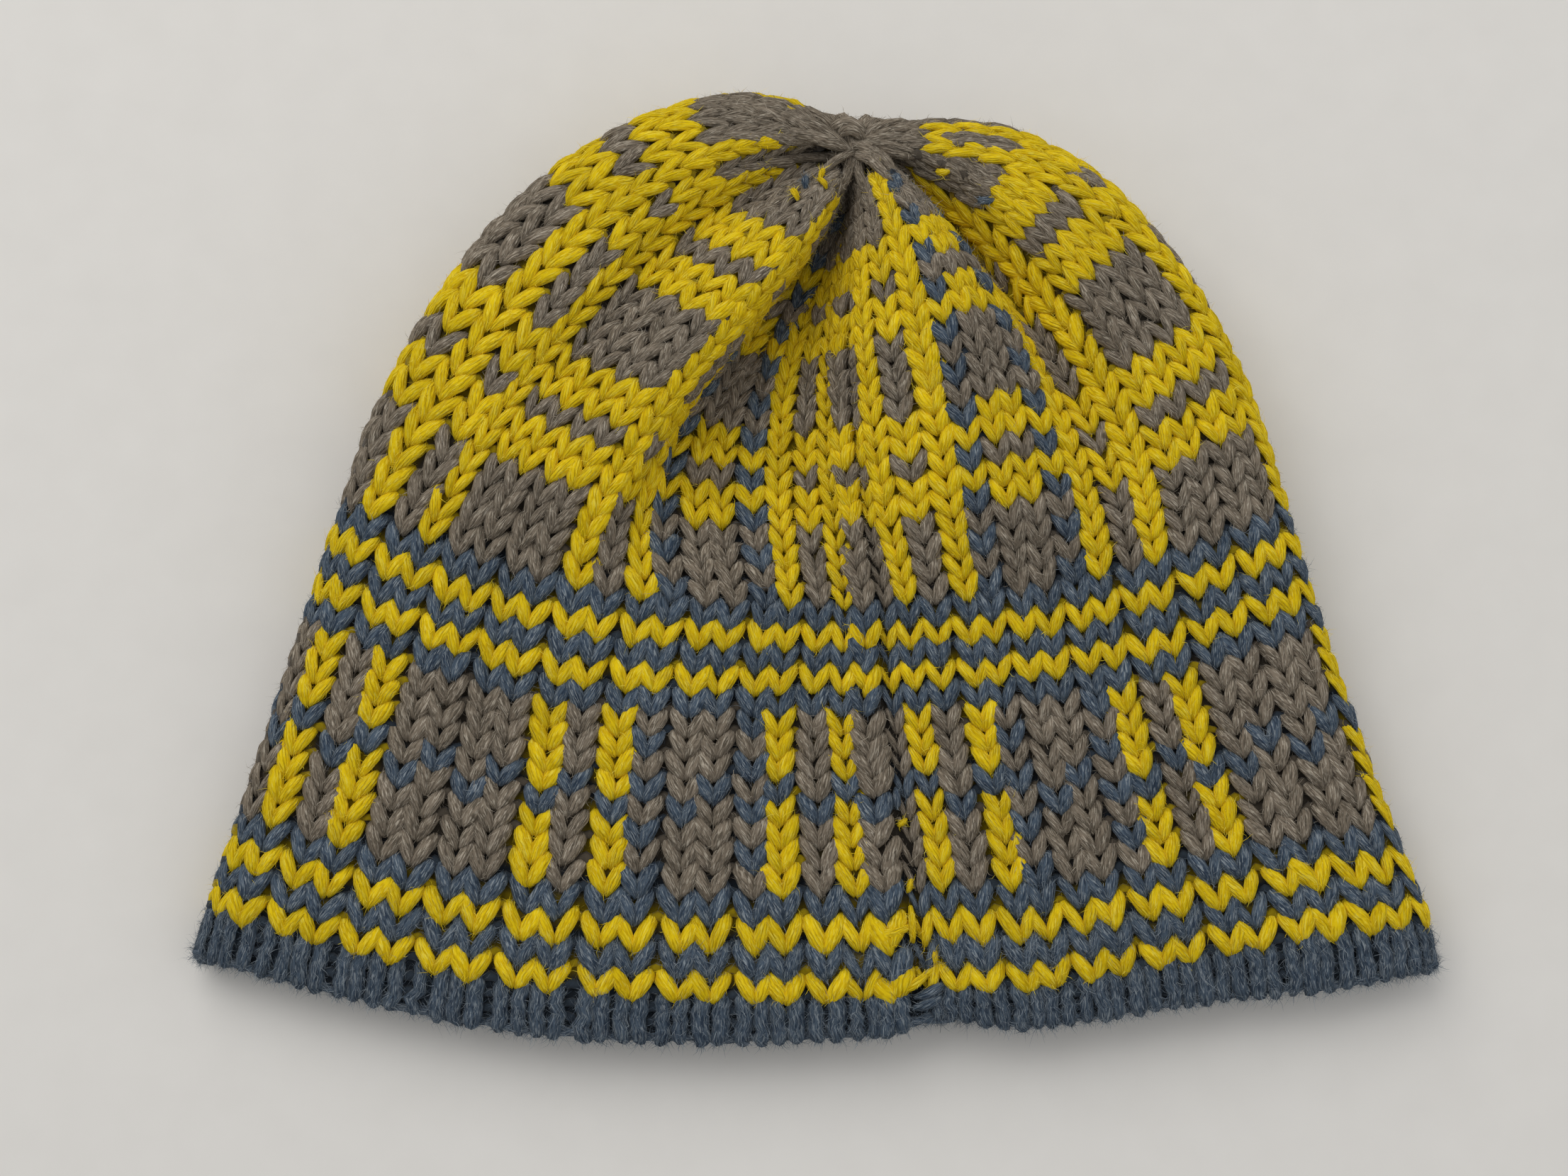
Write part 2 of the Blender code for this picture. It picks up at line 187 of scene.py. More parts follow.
def curve_through(x, xs, ys):
    """A smooth curve through a table's values that doesn't overshoot them."""
    xs = np.asarray(xs, float)
    ys = np.asarray(ys, float)
    step = np.diff(xs)
    rise = np.diff(ys) / step
    slope = np.empty_like(ys)
    slope[0] = rise[0]
    slope[-1] = rise[-1]
    same = rise[:-1] * rise[1:] > 0
    mean = (step[1:] * rise[:-1] + step[:-1] * rise[1:]) / (step[1:] + step[:-1])
    limit = 3 * np.minimum(abs(rise[:-1]), abs(rise[1:]))
    slope[1:-1] = np.where(same, np.sign(mean) * np.minimum(abs(mean), limit), 0.0)
    i = np.clip(np.searchsorted(xs, x, side="right") - 1, 0, len(step) - 1)
    t = (x - xs[i]) / step[i]
    start = (1 + 2 * t) * (1 - t) ** 2 * ys[i] + t * (1 - t) ** 2 * step[i] * slope[i]
    end = t * t * (3 - 2 * t) * ys[i + 1] + t * t * (t - 1) * step[i] * slope[i + 1]
    return start + end


def columns_of(table, names, x):
    """Each named column of a table at x, where the table's first column holds the x values."""
    return {name: curve_through(x, table[:, 0], table[:, k]) for k, name in enumerate(names)}


def out_to_fold(share):
    """How far out a stitch lies, from 0 at the middle to 1 at the fold that it turns round."""
    return share * (1 + (1 - abs(share) ** SIDE_SQUARENESS) / SIDE_SQUARENESS)


def dome(share):
    """How high a flattened half stands over its fold, from 1 at the middle to 0 at the fold."""
    return np.sqrt(np.maximum(0.0, 1 - abs(share) ** SIDE_SQUARENESS))


def stray_at(x, row):
    """How far the band strays at any place across the hat and any row."""
    levels = np.array(list(STRAYS))
    strays = np.stack([np.interp(x, STRAY_X, stray) for stray in STRAYS.values()])
    k = np.clip(np.searchsorted(levels, row, side="right") - 1, 0, len(levels) - 2)
    share = (row - levels[k]) / (levels[k + 1] - levels[k])
    below = np.take_along_axis(strays, k[None], 0)[0]
    above = np.take_along_axis(strays, k[None] + 1, 0)[0]
    return below * (1 - share) + above * share


def band_point(column, row):
    """Points of the band's outer surface, for arrays of columns and rows."""
    s = columns_of(np.array(SECTIONS), SECTION_NAMES, row)
    column = wrapped(column)
    at, *slides = zip(*SLIDES)
    share = np.interp(row, SLIDE_ROWS, (0, 1))
    low, top = (np.interp(column, at, slide) for slide in slides)
    column = column + (1 - share) * low + share * top
    column = (column - LEFT_FOLD) % COLUMNS + LEFT_FOLD
    left = np.clip(column / LEFT_FOLD, 0, 1)
    right = np.clip(column / RIGHT_FOLD, 0, 1)
    under = np.clip(1 - 2 * (column - RIGHT_FOLD) / (COLUMNS + LEFT_FOLD - RIGHT_FOLD), -1, 1)
    upper = column <= RIGHT_FOLD
    upper_x = s["seam_x"] + (s["left_x"] - s["seam_x"]) * out_to_fold(left ** s["left_spread"])
    upper_x = upper_x + (s["right_x"] - s["seam_x"]) * out_to_fold(right ** s["right_spread"])
    middle = (s["left_x"] + s["right_x"]) / 2
    under_x = middle + (s["right_x"] - s["left_x"]) / 2 * out_to_fold(under)
    x = np.where(upper, upper_x, under_x)
    fold_z = FOLD_HEIGHT_SHARE * s["top_z"]
    upper_z = fold_z + (s["top_z"] - fold_z) * dome(np.maximum(left, right))
    under_z = np.maximum(0.0, fold_z - (fold_z + PRESSED_FLAT) * dome(under))
    z = np.where(upper, upper_z, under_z)
    left_bow = s["left_rise"] * abs(x / s["left_x"]) ** s["bow"]
    right_bow = s["right_rise"] * abs(x / s["right_x"]) ** s["bow"]
    tuck = np.where(upper, 0.0, UNDER_TUCK * (1 - under**2))
    beside = (column - NOTCH_AT) / SEAM_NOTCH_COLUMNS
    notch = SEAM_NOTCH * np.exp(-(beside**2) - row / SEAM_NOTCH_ROWS)
    y = s["mid_y"] + np.where(x < 0, left_bow, right_bow) + tuck + notch + stray_at(x, row)
    return np.stack([x, y, z], -1)


def fold_at(column):
    """The fold lines' values at columns, with the table carried on a whole round each way."""
    turn = np.array([COLUMNS, 360, 0, 360, 0, 0, 0, 0, 0])
    table = np.array(FOLDS)
    table = np.concatenate([table - turn, table, table + turn])
    return columns_of(table[np.argsort(table[:, 0])], FOLD_NAMES, wrapped(column))


def round_gather(angle, distance, z):
    angle = np.radians(angle)
    x = GATHER[0] + distance * np.cos(angle)
    y = GATHER[1] + distance * np.sin(angle)
    return np.stack([x, y, z], -1)


def crown_points(column, share):
    """Points of the crown's outer surface: a line of them to the gather for each column."""
    fold = fold_at(column)
    start = band_point(column, np.full_like(column, BAND_ROWS))
    run = start - band_point(column, np.full_like(column, BAND_ROWS - 1))
    run[:, 2] = 0
    far = start + unit(run) * fold["far"][:, None]
    far[:, 0] += fold["far_x"]
    far[:, 2] = fold["far_z"]
    near = round_gather(fold["angle"], fold["near"], fold["near_z"])
    end = round_gather(fold["ring"], GATHER_RING, fold["ring_z"])
    path = bezier(np.linspace(0, 1, PATH_STEPS + 1), [start, far, near, end])
    path[..., 2] = np.maximum(path[..., 2], 0.0)
    drift = np.interp(wrapped(column), *zip(*ROW_DRIFTS))
    points = np.empty((len(column), len(share), 3))
    for line, out, slack in zip(path, points, drift):
        length = run_length(line)
        at = (share - slack * np.sin(np.pi * share)) * length[-1]
        for axis in range(3):
            out[:, axis] = np.interp(at, length, line[:, axis])
    return points


def surface(column, row):
    """The outer surface as a grid of points, columns by rows."""
    low = row[row <= BAND_ROWS]
    high = row[row > BAND_ROWS]
    columns, rows = np.meshgrid(column, low, indexing="ij")
    band = band_point(columns, rows)
    crown = crown_points(column, (high - BAND_ROWS) / (ROWS - BAND_ROWS))
    return np.concatenate([band, crown], axis=1)


def outward(column, row):
    """Unit normals of the outer surface, from the slopes between nearby columns and rows."""
    before = np.maximum(row - SLOPE_STEP, 0.0)
    after = np.minimum(row + SLOPE_STEP, ROWS)
    along = surface(column, after) - surface(column, before)
    around = surface(column + SLOPE_STEP, row) - surface(column - SLOPE_STEP, row)
    return unit(np.cross(around, along))


def wall_at(row, points, normals):
    """How thick the wall is: less towards the gather, and less where a fold squeezes its inside."""
    thinned = np.clip((row - WALL_THINS_FROM) / (ROWS - WALL_THINS_FROM), 0, 1)
    plain = WALL + (GATHERED_WALL - WALL) * thinned
    step = np.roll(points, -1, axis=0) - np.roll(points, 1, axis=0)
    turn = np.roll(normals, -1, axis=0) - np.roll(normals, 1, axis=0)
    bend = (step * turn).sum(axis=2) / (step * step).sum(axis=2)
    folded = np.clip(TIGHT_SHARE / np.maximum(bend, LEAST_BEND), LEAST_WALL, plain[None, :])
    beside = np.minimum(np.roll(folded, 1, axis=0), np.roll(folded, -1, axis=0))
    return (folded + np.minimum(folded, beside)) / 2


# Knitting chart. Each column is of one kind: Y and T are the outer and middle columns of a stripe
# trio, D the first and last column of a dotted block, G a plain column.
TRIO = "YTY"
DOTTED = "DGGD"
PLAIN = "GGGG"
BLOCKS = ("G", DOTTED, PLAIN, PLAIN, DOTTED, PLAIN, DOTTED, PLAIN, PLAIN, DOTTED, "G")
CHART = TRIO.join(BLOCKS)
CHART_STEP = len(TRIO) + len(PLAIN)
YELLOW, GREY, BLUE = 0, 1, 2
HEM_ROWS = 3
LOWER_STRIPES = {3: YELLOW, 4: BLUE, 5: YELLOW, 6: BLUE}
UPPER_STRIPES = {15: BLUE, 16: YELLOW, 17: BLUE, 18: YELLOW, 19: BLUE}
PLAID_TOP = 15
PLAID_BLUE = 4
CROWN_STRIPE_PERIOD = 9
CROWN_STRIPE_STEPS = (4, 5, 7, 8)
CROWN_STRIPES_END = 19
CROWN_GREY_FROM = 22
CROWN_GREY_ELSEWHERE = {1: 19, 3: 24, 4: 24}


def plaid_yarn(column, below):
    """The yarn of a stitch in the plaid, by its column and how many rows it lies below the top."""
    kind = CHART[column]
    from_seam = abs((column + COLUMNS // 2) % COLUMNS - COLUMNS // 2)
    turned_over = (from_seam - 1) // CHART_STEP % 2
    if kind == "Y":
        return BLUE if below == PLAID_BLUE + turned_over else YELLOW
    if kind == "T":
        return BLUE if below == PLAID_BLUE + 1 - turned_over else GREY
    if kind == "G":
        return BLUE if below == PLAID_BLUE + column % 2 else GREY
    first = CHART[(column + 1) % COLUMNS] == "G"
    return BLUE if below % 2 == (0 if first else 1) else GREY


def crown_yarn(column, above):
    """The yarn of a stitch in the crown, by its column and its row counted from the band."""
    kind = CHART[column]
    step = (above - 1) % CROWN_STRIPE_PERIOD
    stripe = step in CROWN_STRIPE_STEPS and above < CROWN_STRIPES_END
    if above >= CROWN_GREY_ELSEWHERE.get(column, CROWN_GREY_FROM):
        return GREY
    if kind == "Y":
        return YELLOW
    if kind == "D" and above % 2 == 1:
        return BLUE
    return YELLOW if stripe else GREY


def yarn_of(column, row):
    """The yarn of any stitch."""
    column = int(column) % COLUMNS
    if row < HEM_ROWS:
        return BLUE
    if row in LOWER_STRIPES:
        return LOWER_STRIPES[row]
    if row in UPPER_STRIPES:
        return UPPER_STRIPES[row]
    if row < PLAID_TOP:
        return plaid_yarn(column, PLAID_TOP - row)
    return crown_yarn(column, row - BAND_ROWS + 1)


# Stitches. Each leg of a V is a fat leaf of yarn: its place along its column, counted in rows from
# its own row, how far it stands from the middle of the column, its share of the full width, and
# how deep its middle lies. The legs of the hem run over all of its rows and are darker.
LEG_NAMES = ("row", "aside", "width", "depth")
LEG = (
    (-0.66, 0.05, 0.12, -2.30),
    (-0.52, 0.06, 0.52, -1.75),
    (-0.30, 0.11, 0.84, -1.40),
    (-0.02, 0.20, 0.98, -1.22),
    (0.26, 0.30, 1.00, -1.25),
    (0.50, 0.38, 0.95, -1.60),
    (0.66, 0.42, 0.80, -2.10),
    (0.78, 0.43, 0.55, -2.65),
    (0.84, 0.43, 0.20, -3.00),
)
HEM_LEG = (
    (-0.50, 0.23, 0.30, -3.60),
    (-0.44, 0.23, 0.80, -2.70),
    (-0.20, 0.24, 1.02, -1.75),
    (0.40, 0.25, 1.08, -1.40),
    (1.00, 0.25, 1.02, -1.55),
    (1.60, 0.25, 1.05, -1.45),
    (2.10, 0.26, 1.02, -1.75),
    (2.50, 0.28, 0.90, -2.20),
    (2.90, 0.30, 0.50, -2.90),
)
HEM_WAVE = 0.035
HEM_TONES = (-0.5, 0.0)
LOWEST_FOOT = 1.35
LEG_HALF_SHARE = 0.232
LEG_HALF_MIN = 1.25
LEG_HALF_MAX = 1.75
LEG_HALF_THICK = 1.4
FRONT_RINGS = (0, 2, 4, 6, 8)
BACK_SIDES = 7
FRONT_SIDES = 5
PLIES = 12
LEFT_TURNS = 1.0
RIGHT_TURNS = 2.0
LUMPS = 0.07
LEAST_LENGTH = 0.1

# How much stitches differ by chance: in their place along and across, in girth, in the length and
# slant of a leg, and in depth.
SHIFT_VARIES = 0.018
ROW_VARIES = 0.045
GIRTH_VARIES = 0.07
LENGTH_VARIES = 0.04
ASIDE_VARIES = 0.10
DEPTH_VARIES = 0.13

# The two columns of a rib lean together, most near the hem, and their outer legs lie lower.
PAIR_LEANS = ((0, 0.035), (3, 0.085), (17, 0.075), (24, 0.045), (42, 0.02))
PAIR_TILT = 0.45

# Beside the back seam the columns stand apart. The one left of it is coarse and uneven, and sags
# near the hem. The one right of it is low, and its left leg is half hidden.
SEAM_SHIFTS = ((-3, 0), (-2, 0.06), (-1, -0.30), (0, -0.02), (1, -0.12), (2, 0))
SEAM_WOBBLE = 3.4
SEAM_GIRTH = 1.22
SEAM_SPREAD = 1.12
SEAM_SAG = 0.34
SAG_ROW = 3.6
SAG_REACH = 1.5
SEAM_SIDE_GIRTH = 0.98
SEAM_SIDE_DROP = 0.45
HIDDEN_LEG_GIRTH = 0.55
HIDDEN_LEG_DROP = 0.9
SQUEEZED_GIRTH = 0.86

# Near the gather a stitch keeps its size and its neighbours sink into pleats: how narrow each
# column of four is when it starts to sink, and how far it sinks.
NATURAL_PITCH = 4.2
PLEAT_LIMITS = (3.2, 2.2, 3.2, 0.0)
PLEAT_DEPTH = 2.0
MOST_WIDENED = 2.4

# How finely the surface is sampled, and the least height over the floor.
GRID_PER_COLUMN = 8
GRID_PER_ROW = 4
LEAST_HEIGHT = 0.02

random = np.random.default_rng(7)
grid_columns = np.arange(COLUMNS * GRID_PER_COLUMN + 1) / GRID_PER_COLUMN - COLUMNS / 2
grid_rows = np.arange(ROWS * GRID_PER_ROW + 1) / GRID_PER_ROW
GRID = surface(grid_columns, grid_rows)
FACING = outward(grid_columns, grid_rows)
WALLS = wall_at(grid_rows, GRID, FACING)[..., None]

# Spans of columns that turn down each side and under it, and the rows over which they go from
# evenly wide back to their plain places.
SIDE_SPANS = ((15.5, 27.0), (-31.0, -19.5))
SIDE_ROWS = (20, 30)


def even_out_sides():
    """Gives the columns of each side span the same width, so that their stitches are whole."""
    for first, last in SIDE_SPANS:
        span = (grid_columns >= first) & (grid_columns <= last)
        places = grid_columns[span]
        for j, share in enumerate(np.interp(grid_rows, SIDE_ROWS, (1, 0))):
            length = run_length(GRID[span, j])
            even = np.interp(np.linspace(0, length[-1], len(places)), length, places)
            taken = places + share * (even - places)
            for field in (GRID, FACING, WALLS):
                for axis in range(field.shape[2]):
                    field[span, j, axis] = np.interp(taken, places, field[span, j, axis])


even_out_sides()


def lookup(field, column, row):
    """A grid's value between its points, with the columns taken round the hat."""
    at_column = (column + COLUMNS / 2) % COLUMNS * GRID_PER_COLUMN
    at_row = np.clip(row, 0, ROWS) * GRID_PER_ROW
    i = np.minimum(at_column.astype(int), field.shape[0] - 2)
    j = np.minimum(at_row.astype(int), field.shape[1] - 2)
    s = (at_column - i)[..., None]
    t = (at_row - j)[..., None]
    near = field[i, j] * (1 - s) + field[i + 1, j] * s
    far = field[i, j + 1] * (1 - s) + field[i + 1, j + 1] * s
    return near * (1 - t) + far * t


def on_hat(column, row, height):
    """Points over or under the surface. Below row 0 they run on past the hem."""
    wall = lookup(WALLS, column, row) / WALL
    point = lookup(GRID, column, row) + lookup(FACING, column, row) * height[..., None] * wall
    past = np.maximum(0.0, -row)[..., None]
    return point + (lookup(GRID, column, 0 * row) - lookup(GRID, column, 0 * row + 1)) * past


def column_pitch(column, row):
    """How wide a column is at a place, from a half of it."""
    step = lookup(GRID, column + 0.25, row) - lookup(GRID, column - 0.25, row)
    return np.linalg.norm(step, axis=-1) * 2


def strand_frames(column, row, height):
    """Middle line of each strand and the two directions across it."""
    middle = on_hat(column, row, height)
    along = unit(np.gradient(middle, axis=1))
    across = unit(np.cross(along, lookup(FACING, column, row)))
    return middle, along, across, np.cross(across, along)


def strand_arrays(middle, across, up, half_width, half_thick, sides, tone, turns=LEFT_TURNS):
    """Closed tubes along middle lines: their points, quads, places on the yarn and tones.

    A place counts plies round the tube, from its under side, and millimetres along it. The plies
    wind as the tube runs on.
    """
    count, rings = middle.shape[:2]
    turn = 2 * math.pi * np.arange(sides) / sides - math.pi / 2
    ring = across[:, :, None] * (half_width[..., None] * np.cos(turn))[..., None]
    ring = ring + up[:, :, None] * (half_thick[..., None] * np.sin(turn))[..., None]
    lumps = LUMPS * random.normal(0, 1, ring.shape) * half_width[..., None, None] / LEG_HALF_MAX
    points = (middle[:, :, None] + ring + lumps).reshape(-1, 3)
    k, m = np.meshgrid(np.arange(rings - 1), np.arange(sides), indexing="ij")
    after = (m + 1) % sides
    here, there = k * sides, (k + 1) * sides
    quads = np.stack([here + m, there + m, there + after, here + after], -1)
    quads = quads.reshape(1, -1, 4) + (np.arange(count) * rings * sides)[:, None, None]
    length = run_length(middle)
    run = np.stack([length[:, k.ravel()], length[:, k.ravel() + 1]], -1)[:, :, [0, 1, 1, 0]]
    turns = np.broadcast_to(np.asarray(turns, float).reshape(-1, 1, 1), (count, 1, 1))
    wind = turns * run / np.maximum(length[:, -1], LEAST_LENGTH)[:, None, None]
    round_it = PLIES * np.stack([m, m, m + 1, m + 1], -1).reshape(1, -1, 4) / sides
    place = np.stack([round_it - wind, run], -1)
    return points, quads.reshape(-1, 4), place.reshape(-1, 2), np.repeat(tone, rings * sides)


def to_row_frame(points):
    """From the hat's own millimetres to the row frame, and always above what it lies on."""
    points = points - (CENTRE_X, CENTRE_Y, 0.0)
    points[:, 2] = np.maximum(points[:, 2], LEAST_HEIGHT)
    return points * MM


def add_object(name, data):
    made = bpy.data.objects.new(name, data)
    bpy.context.collection.objects.link(made)
    return made


def store(data, key, values, kind=np.float32):
    data.foreach_set(key, values.astype(kind).ravel())


def add_mesh(name, material, points, faces, place=None, tone=None, colours=None):
    """A smooth mesh from arrays, with places on its yarn, and its points' tones or colours."""
    mesh = bpy.data.meshes.new(name)
    mesh.vertices.add(len(points))
    store(mesh.vertices, "co", to_row_frame(points))
    mesh.loops.add(faces.size)
    store(mesh.loops, "vertex_index", faces, np.int32)
    mesh.polygons.add(len(faces))
    store(mesh.polygons, "loop_start", np.arange(0, faces.size, faces.shape[1]), np.int32)
    mesh.update(calc_edges=True)
    mesh.validate()
    mesh.shade_smooth()
    if place is not None:
        store(mesh.uv_layers.new(name="yarn").data, "uv", place)
    if tone is not None:
        store(mesh.attributes.new("tone", "FLOAT", "POINT").data, "value", tone)
    if colours is not None:
        store(mesh.attributes.new("colour", "FLOAT_COLOR", "POINT").data, "color", colours)
    mesh.materials.append(material)
    piece = add_object(name, mesh)
    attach(piece, "root")
    return piece


# Yarns, in scene-linear colours: the painted shade between plies, the yarn, its dark and its pale
# fibres, and how strongly each kind of fibre shows.
YARNS = {
    YELLOW: (
        "yellow_wool", (0.40, 0.23, 0.003), (0.87, 0.620, 0.011), (0.58, 0.36, 0.005),
        (0.97, 0.83, 0.12), 0.6,
    ),
    GREY: (
        "grey_wool", (0.054, 0.043, 0.031), (0.238, 0.195, 0.147), (0.106, 0.087, 0.065),
        (0.52, 0.46, 0.37), 0.85,
    ),
    BLUE: (
        "blue_wool", (0.015, 0.025, 0.042), (0.086, 0.118, 0.160), (0.027, 0.042, 0.068),
        (0.33, 0.37, 0.40), 0.8,
    ),
}
PLAIN_FIBRE, PALE_FIBRE = 2, 4
PLAIN_COLOURS = np.array([(*YARNS[yarn][PLAIN_FIBRE], 1.0) for yarn in (YELLOW, GREY, BLUE)])

# Streaks along a yarn: how many cross a ply and pass in a millimetre, how fine they are, and where
# they start in the noise. Then how far the plies wander, how wide the valleys between them are and
# how dark the painted shade in them is, and over which values of the noise each thing fades in.
PLY_DRIFTS = (0.45, 0.45, 1.0, 3.0)
PLY_STRENGTHS = (0.5, 0.25, 1.0, 21.0)
FINE_STREAKS = (3.8, 0.60, 3.0, 0.0)
BROAD_STREAKS = (1.3, 0.45, 2.0, 9.0)
PLY_WANDER = 1.1
VALLEY_WIDTH = 0.62
VALLEY_SHADE = 0.60
STRENGTH_FADE = (0.30, 0.62)
DARK_FADE = (0.48, 0.60)
PALE_FADE = (0.53, 0.64)
SEED_SPREAD = 57.0

# How dark and pale stitches and patches of them are, and how the yarn's relief is made up.
TONE_SHARE = 0.7
TONE_FADE = (0.2, 1.5)
DARKEST, TONE_RANGE = 0.80, 0.34
PATCHES_PER_METRE = 45.0
PLY_RELIEF, FINE_RELIEF, BROAD_RELIEF = 0.55, 0.55, 0.35


class Nodes:
    """A new material, with short names for building its node tree."""

    def __init__(self, name):
        self.material = bpy.data.materials.new(name)
        self.material.use_nodes = True
        self.tree = self.material.node_tree
        self.shader = self.tree.nodes["Principled BSDF"]

    def put(self, kind, inputs=(), **settings):
        node = self.tree.nodes.new(kind)
        for key, value in settings.items():
            setattr(node, key, value)
        for key, value in dict(inputs).items():
            if isinstance(value, bpy.types.NodeSocket):
                self.tree.links.new(value, node.inputs[key])
            else:
                node.inputs[key].default_value = value
        return node

    def maths(self, operation, first, second=0.0):
        return self.put("ShaderNodeMath", {0: first, 1: second}, operation=operation).outputs[0]

    def mix(self, share, first, second, blend="MIX"):
        inputs = {0: share, 6: first, 7: second}
        return self.put("ShaderNodeMix", inputs, data_type="RGBA", blend_type=blend).outputs[2]

    def noise(self, vector, scale, detail=2.0):
        inputs = {"Vector": vector, "Scale": scale, "Detail": detail}
        return self.put("ShaderNodeTexNoise", inputs).outputs["Fac"]

    def ramp(self, value, low, high):
        inputs = {"Value": value, "From Min": low, "From Max": high}
        return self.put("ShaderNodeMapRange", inputs, clamp=True).outputs[0]

    def bump(self, height, distance, strength):
        inputs = {"Height": height, "Distance": distance, "Strength": strength}
        return self.put("ShaderNodeBump", inputs).outputs[0]

    def set_shader(self, colour, normal=None, **plain):
        """Joins colour and normal, and sets plain values, whose names have _ for spaces."""
        self.tree.links.new(colour, self.shader.inputs["Base Color"])
        if normal:
            self.tree.links.new(normal, self.shader.inputs["Normal"])
        for key, value in plain.items():
            self.shader.inputs[key.replace("_", " ")].default_value = value


def yarn_material(name, shade, plain, dark, pale, heather):
    """Plied wool: winding plies with painted shade in their valleys, dark and pale fibres, a tone
    for each stitch, and a soft sheen.
    """
    n = Nodes(name)
    tone = n.put("ShaderNodeAttribute", attribute_name="tone").outputs["Fac"]
    parts = n.put("ShaderNodeSeparateXYZ", {0: n.put("ShaderNodeUVMap", uv_map="yarn").outputs[0]})
    ply_at, along = parts.outputs[0], parts.outputs[1]
    seed = n.maths("MULTIPLY", tone, SEED_SPREAD)

    def streaks(per_ply, per_mm, detail, shift):
        at = n.put("ShaderNodeCombineXYZ", {
            0: n.maths("MULTIPLY", ply_at, per_ply),
            1: n.maths("MULTIPLY", along, per_mm),
            2: n.maths("ADD", seed, shift),
        }).outputs[0]
        return n.noise(at, 1.0, detail)

    drift = n.maths("SUBTRACT", streaks(*PLY_DRIFTS), 0.5)
    wandering = n.maths("ADD", ply_at, n.maths("MULTIPLY", drift, PLY_WANDER))
    ply = n.maths("ABSOLUTE", n.maths("SINE", n.maths("MULTIPLY", wandering, math.pi)))
    fine = streaks(*FINE_STREAKS)
    broad = streaks(*BROAD_STREAKS)
    strength = n.ramp(streaks(*PLY_STRENGTHS), *STRENGTH_FADE)
    # Painted shade: the valleys between plies are mixed towards the shade colour, where plies are
    # strong.
    valley = n.maths("SUBTRACT", 1.0, n.ramp(ply, 0.0, VALLEY_WIDTH))
    valley = n.maths("MULTIPLY", n.maths("MULTIPLY", valley, strength), VALLEY_SHADE)
    colour = n.mix(valley, (*plain, 1.0), (*shade, 1.0))
    darks = n.maths("MULTIPLY", n.ramp(broad, *DARK_FADE), heather)
    colour = n.mix(darks, colour, (*dark, 1.0))
    pales = n.maths("MULTIPLY", n.ramp(fine, *PALE_FADE), heather)
    colour = n.mix(pales, colour, (*pale, 1.0))
    where = n.put("ShaderNodeTexCoord").outputs["Object"]
    patch = n.noise(where, PATCHES_PER_METRE)
    paler = n.ramp(n.maths("ADD", n.maths("MULTIPLY", tone, TONE_SHARE), patch), *TONE_FADE)
    paler = n.put("ShaderNodeCombineXYZ", {0: paler, 1: paler, 2: paler}).outputs[0]
    inputs = {0: paler, 1: (TONE_RANGE,) * 3, 2: (DARKEST,) * 3}
    paler = n.put("ShaderNodeVectorMath", inputs, operation="MULTIPLY_ADD").outputs[0]
    colour = n.mix(1.0, colour, paler, "MULTIPLY")
    height = n.maths("MULTIPLY", n.maths("MULTIPLY", ply, strength), PLY_RELIEF)
    height = n.maths("ADD", height, n.maths("MULTIPLY", fine, FINE_RELIEF))
    height = n.maths("ADD", height, n.maths("MULTIPLY", broad, BROAD_RELIEF))
    n.set_shader(colour, n.bump(height, distance=0.0005, strength=0.85),
                 Roughness=1.0, Specular_IOR_Level=0.0, Sheen_Weight=0.12,
                 Sheen_Roughness=0.6, Sheen_Tint=(*pale, 1.0))
    return n.material


def stored_colour(n):
    return n.put("ShaderNodeAttribute", attribute_name="colour").outputs["Color"]


yarn_materials = {yarn: yarn_material(*look) for yarn, look in YARNS.items()}

# The fabric behind the stitches is knotted, and darker in places. Fuzz is plain. The colours of
# both are stored in their points.
FABRIC_DIM = (0.55, 0.55, 0.55, 1.0)
n = Nodes("wool_fabric")
knots = n.noise(n.put("ShaderNodeTexCoord").outputs["Object"], 420.0, 3.0)
shade = n.mix(n.ramp(knots, 0.25, 0.75), FABRIC_DIM, (1.0, 1.0, 1.0, 1.0))
colour = n.mix(1.0, stored_colour(n), shade, "MULTIPLY")
n.set_shader(colour, n.bump(knots, distance=0.0008, strength=0.8),
             Roughness=0.95, Specular_IOR_Level=0.1, Sheen_Weight=0.15)
fabric_material = n.material
n = Nodes("wool_fuzz")
n.set_shader(stored_colour(n), Roughness=1.0, Specular_IOR_Level=0.0)
fuzz_material = n.material


